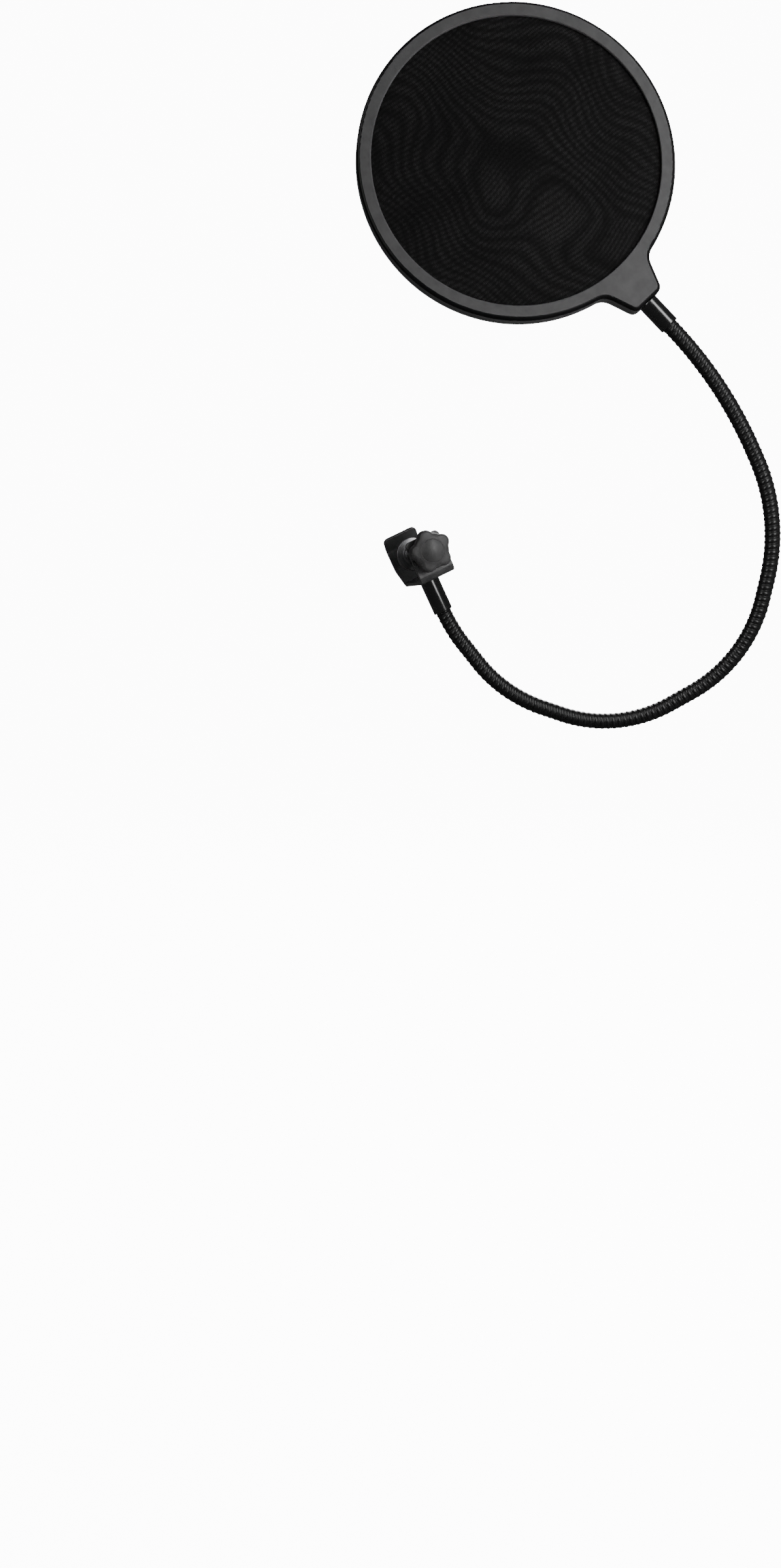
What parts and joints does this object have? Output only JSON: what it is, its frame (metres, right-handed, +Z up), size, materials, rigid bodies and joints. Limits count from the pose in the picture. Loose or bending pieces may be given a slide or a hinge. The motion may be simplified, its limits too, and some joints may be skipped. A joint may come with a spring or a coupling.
{
  "type": "pop filter",
  "caption": "Round two-layer gauze screen on a bendable gooseneck with a screw clamp for a bar or tube.",
  "frame": {"origin": "centre of the bar held in the clamp's jaw, on the clamp bolt's axis", "axes": "+Z up, -Y towards the voice along the clamp bolt, +X to the right; the held bar rises 25.5 degrees from +X"},
  "size_m": [0.205, 0.0801, 0.352],
  "materials": {
    "hoop_plastic": "moulded, fine satin grain",
    "gauze": "stretched knitted nylon, two layers",
    "spacer_plastic": "moulded",
    "insert_brass": "machined",
    "plated_steel": "zinc plated",
    "sleeve_lacquer": "gloss black",
    "neck_wire": "black oxide and oil, worn bright on the crowns",
    "bracket_lacquer": "gloss black over bent steel",
    "facing_rubber": "matt",
    "pad_metal": "black nickel",
    "knob_plastic": "moulded, satin"
  },
  "bodies": {
    "clamp": {"jaw_bracket": "bracket_lacquer", "sleeve_screw": "plated_steel", "sleeve_washer": "plated_steel", "lower_sleeve": "sleeve_lacquer", "gooseneck_1": "neck_wire"},
    "neck_2": {"gooseneck_2": "neck_wire"},
    "neck_3": {"gooseneck_3": "neck_wire"},
    "neck_4": {"gooseneck_4": "neck_wire"},
    "neck_5": {"gooseneck_5": "neck_wire"},
    "screen": {"gooseneck_6": "neck_wire", "upper_sleeve": "sleeve_lacquer", "upper_stud": "plated_steel", "tab_insert": "insert_brass", "tab_screws": "plated_steel", "front_hoop": "hoop_plastic", "rear_hoop": "hoop_plastic", "front_mesh": "gauze", "rear_mesh": "gauze", "spacer_ring": "spacer_plastic"},
    "pad": {"pressure_pad": "pad_metal", "pad_facing": "facing_rubber"},
    "bolt": {"clamp_bolt": "plated_steel", "star_knob": "knob_plastic", "knob_cap": "knob_plastic", "pad_retainer": "plated_steel"}
  },
  "joints": [
    {"name": "neck_bend_1", "type": "hinge", "parent": "clamp", "child": "neck_2", "pos_m": [0.03025, -0.021, -0.05411], "axis": [-0.1422, -0.9714, 0.1901], "range_deg": [-30, 30]},
    {"name": "neck_bend_2", "type": "hinge", "parent": "neck_2", "child": "neck_3", "pos_m": [0.0705, -0.033, -0.08025], "axis": [0.3288, 0, 0.9444], "range_deg": [-15, 25]},
    {"name": "neck_bend_3", "type": "hinge", "parent": "neck_3", "child": "neck_4", "pos_m": [0.129, -0.0495, -0.07175], "axis": [-0.2216, -0.9661, -0.1326], "range_deg": [-30, 20]},
    {"name": "neck_bend_4", "type": "hinge", "parent": "neck_4", "child": "neck_5", "pos_m": [0.16525, -0.065, -0.01825], "axis": [-0.987, 0, 0.161], "range_deg": [-15, 25]},
    {"name": "neck_bend_5", "type": "hinge", "parent": "neck_5", "child": "screen", "pos_m": [0.15604, -0.06837, 0.04954], "axis": [-0.0306, -0.9973, 0.0666], "range_deg": [-30, 20]},
    {"name": "pad_slide", "type": "slide", "parent": "clamp", "child": "pad", "axis": [0, 1, 0], "range_m": [-0.0255, 0.0027]},
    {"name": "knob_turn", "type": "hinge", "parent": "pad", "child": "bolt", "pos_m": [0, -0.04, 0], "axis": [0, 1, 0], "range_deg": [-9181, 973]}
  ],
  "couplings": [
    {"joint": "knob_turn", "follows": "pad_slide", "rad_per_m": 6283.2}
  ]
}
